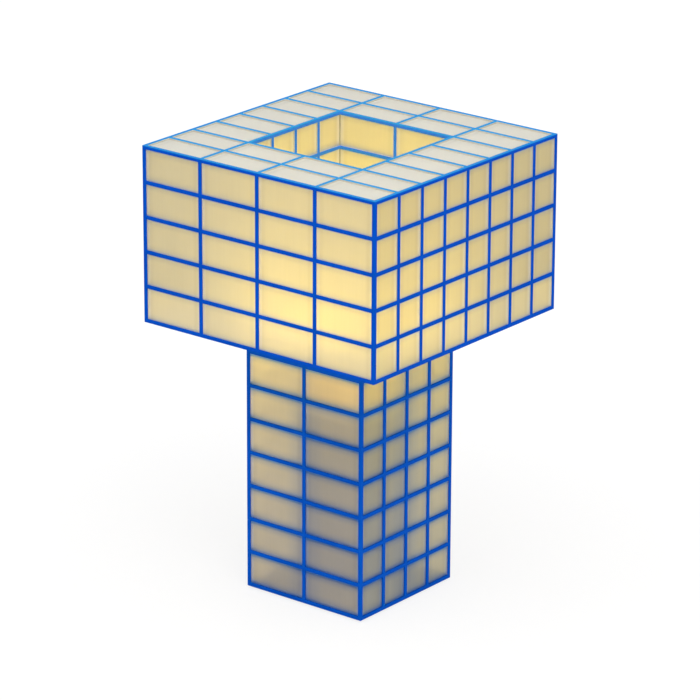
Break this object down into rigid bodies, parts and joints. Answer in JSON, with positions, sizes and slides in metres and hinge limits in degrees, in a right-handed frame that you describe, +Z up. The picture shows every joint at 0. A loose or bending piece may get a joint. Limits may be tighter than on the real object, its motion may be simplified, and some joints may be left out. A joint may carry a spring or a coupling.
{
  "type": "portable lamp",
  "caption": "Portable lamp: a wide square grille shade with an open well on a narrower square column, opal sheets behind blue bars and a rechargeable light core inside.",
  "frame": {"origin": "on the floor, at the middle of the base", "axes": "+Z up through the column and the well; -Y is the front with the wide cells; +X is the right side with the square cells; the controls are low on +Y"},
  "size_m": [0.1622, 0.1622, 0.2632],
  "materials": {
    "blue_paint": "satin powder coat",
    "opal_sheet": "opal, frosted",
    "plain_steel": "zinc plated",
    "weight_steel": "satin powder coat",
    "silicone": "matt",
    "white_plastic": "moulded",
    "dark_plastic": "moulded",
    "cell_wrap": "shrink sleeve",
    "circuit_board": "solder mask",
    "coil_case": "moulded ferrite",
    "spreader_metal": "turned",
    "light_board": "white solder mask",
    "emitter": "phosphor",
    "lead_sleeve": "sleeved",
    "opal_globe": "opal, frosted",
    "collar_metal": "turned",
    "control_blue": "moulded",
    "port_shell": "stamped",
    "button_white": "moulded",
    "cover_rubber": "matt"
  },
  "bodies": {
    "lamp": {"shade_front_grille": "blue_paint", "shade_rear_grille": "blue_paint", "shade_left_grille": "blue_paint", "shade_right_grille": "blue_paint", "shade_top_grille": "blue_paint", "shade_floor_grille": "blue_paint", "well_front_grille": "blue_paint", "well_rear_grille": "blue_paint", "well_left_grille": "blue_paint", "well_right_grille": "blue_paint", "column_front_grille": "blue_paint", "column_rear_grille": "blue_paint", "column_left_grille": "blue_paint", "column_right_grille": "blue_paint", "base_flange": "blue_paint", "column_top_ring": "blue_paint", "shade_front_panel": "opal_sheet", "shade_rear_panel": "opal_sheet", "shade_left_panel": "opal_sheet", "shade_right_panel": "opal_sheet", "shade_top_panel": "opal_sheet", "shade_floor_panel": "opal_sheet", "well_front_panel": "opal_sheet", "well_rear_panel": "opal_sheet", "well_left_panel": "opal_sheet", "well_right_panel": "opal_sheet", "column_front_panel": "opal_sheet", "column_rear_panel": "opal_sheet", "column_left_panel": "opal_sheet", "column_right_panel": "opal_sheet", "shade_bolts": "plain_steel", "shade_nuts": "plain_steel", "base_weight": "weight_steel", "feet": "silicone", "base_screws": "plain_steel", "base_nuts": "plain_steel", "core_housing": "white_plastic", "housing_screws": "plain_steel", "battery_trays": "dark_plastic", "battery_cells": "cell_wrap", "driver_board": "circuit_board", "driver_coil": "coil_case", "heat_spreader": "spreader_metal", "spreader_screws": "plain_steel", "led_board": "light_board", "led_emitters": "emitter", "lamp_lead": "lead_sleeve", "globe_seal": "silicone", "globe": "opal_globe", "globe_collar": "collar_metal", "control_plate": "control_blue", "control_board": "circuit_board", "board_screws": "plain_steel", "charge_port": "port_shell", "push_switch": "dark_plastic", "cover_pin": "plain_steel", "control_lead": "lead_sleeve"},
    "power_button": {"power_button": "button_white"},
    "port_cover": {"port_cover": "cover_rubber"}
  },
  "joints": [
    {"name": "button_press", "type": "slide", "parent": "lamp", "child": "power_button", "axis": [0, -1, 0], "range_m": [0, 0.0008], "stiffness_N_per_m": 600, "springref_m": -0.001},
    {"name": "cover_swing", "type": "hinge", "parent": "lamp", "child": "port_cover", "pos_m": [-0.0362, 0.04105, 0.01215], "axis": [0, 0, 1], "range_deg": [0, 135]}
  ]
}
